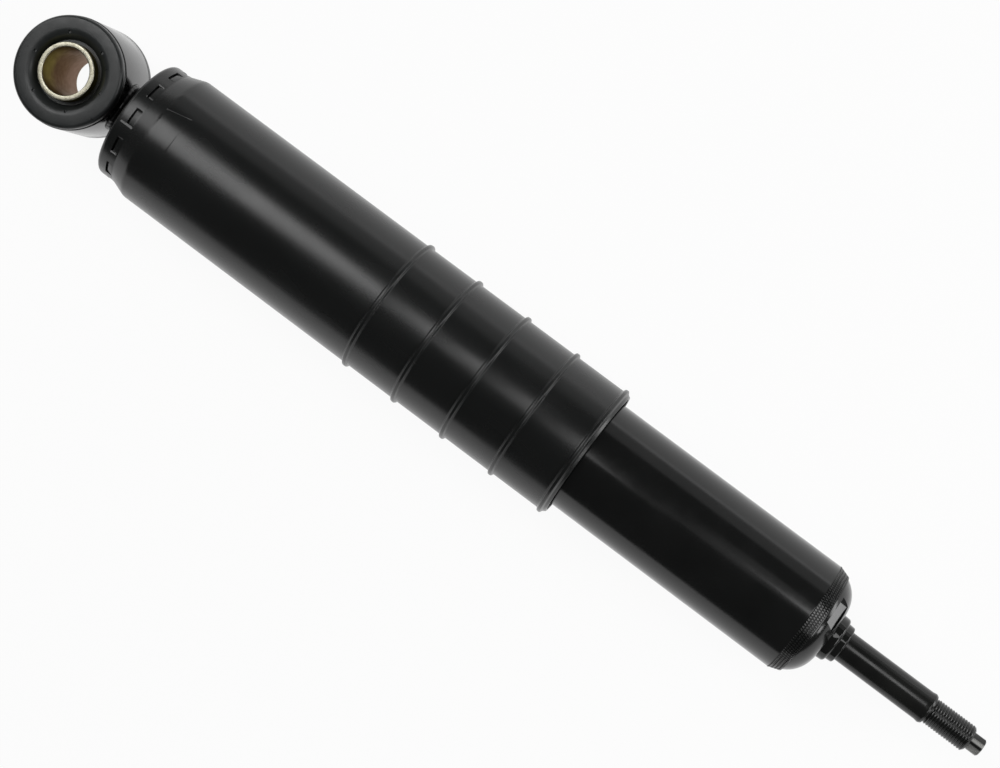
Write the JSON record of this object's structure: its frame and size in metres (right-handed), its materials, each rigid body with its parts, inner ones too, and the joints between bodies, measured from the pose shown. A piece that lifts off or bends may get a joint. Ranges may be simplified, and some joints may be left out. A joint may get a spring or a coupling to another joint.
{
  "type": "shock absorber",
  "caption": "Telescopic twin-tube shock absorber with a rubber-bushed eye, a ribbed plastic dust cover over the rod, a painted steel tube and a threaded stem pin.",
  "frame": {"origin": "centre of the eye's bore", "axes": "+Z along the eye's bore, +X along the damper from the eye to the stem pin"},
  "size_m": [0.5816, 0.074, 0.074],
  "materials": {
    "zinc_yellow": "yellow-chromated zinc plate",
    "bush_rubber": "matte moulded rubber",
    "ring_paint": "gloss black paint",
    "plate_paint": "satin black paint",
    "cover_plastic": "moulded semi-gloss black plastic",
    "rod_chrome": "hard-chromed and polished",
    "tube_paint": "gloss black paint",
    "pin_paint": "satin black paint on machined steel",
    "bright_steel": "machined steel",
    "sintered_iron": "sintered iron",
    "spring_steel": "blued spring steel",
    "seal_rubber": "moulded nitrile rubber",
    "bearing_bronze": "sintered bronze with a low-friction lining",
    "band_polymer": "filled low-friction polymer",
    "buffer_polymer": "elastic polymer"
  },
  "bodies": {
    "sleeve": {"eye_sleeve": "zinc_yellow"},
    "rod": {"eye_bush": "bush_rubber", "eye_ring": "ring_paint", "cover_plate": "plate_paint", "dust_cover": "cover_plastic", "piston_rod": "rod_chrome", "rebound_buffer": "buffer_polymer", "rebound_stop": "bright_steel", "check_support": "bright_steel", "piston_check_spring": "spring_steel", "piston": "sintered_iron", "rebound_discs": "spring_steel", "disc_support": "bright_steel", "piston_nut": "bright_steel"},
    "piston_check": {"piston_check_plate": "spring_steel"},
    "band": {"piston_band": "band_polymer"},
    "tube": {"reservoir_tube": "tube_paint", "working_cylinder": "bright_steel", "seal_plate": "bright_steel", "rod_guide": "sintered_iron", "guide_bush": "bearing_bronze", "guide_seal": "seal_rubber", "rod_seal": "seal_rubber", "garter_spring": "spring_steel", "base_valve_body": "sintered_iron", "base_valve_bolt": "bright_steel", "base_check_spring": "spring_steel", "compression_discs": "spring_steel", "base_valve_nut": "bright_steel", "bottom_cap": "tube_paint", "mounting_pin": "pin_paint"},
    "base_check": {"base_check_plate": "spring_steel"}
  },
  "joints": [
    {"name": "eye_twist", "type": "hinge", "parent": "sleeve", "child": "rod", "pos_m": [0, 0, 0], "axis": [0, 0, 1], "range_deg": [-12, 12], "stiffness_Nm_per_rad": 90},
    {"name": "rod_turn", "type": "hinge", "parent": "rod", "child": "band", "pos_m": [0.25, 0, 0], "axis": [1, 0, 0], "continuous": true},
    {"name": "stroke", "type": "slide", "parent": "band", "child": "tube", "axis": [-1, 0, 0], "range_m": [0, 0.145]},
    {"name": "piston_check_lift", "type": "slide", "parent": "rod", "child": "piston_check", "axis": [-1, 0, 0], "range_m": [0, 0.0008], "stiffness_N_per_m": 600, "springref_m": -0.001, "deforming": ["piston_check_spring"]},
    {"name": "base_check_lift", "type": "slide", "parent": "tube", "child": "base_check", "axis": [-1, 0, 0], "range_m": [0, 0.0008], "stiffness_N_per_m": 600, "springref_m": -0.001, "deforming": ["base_check_spring"]}
  ]
}
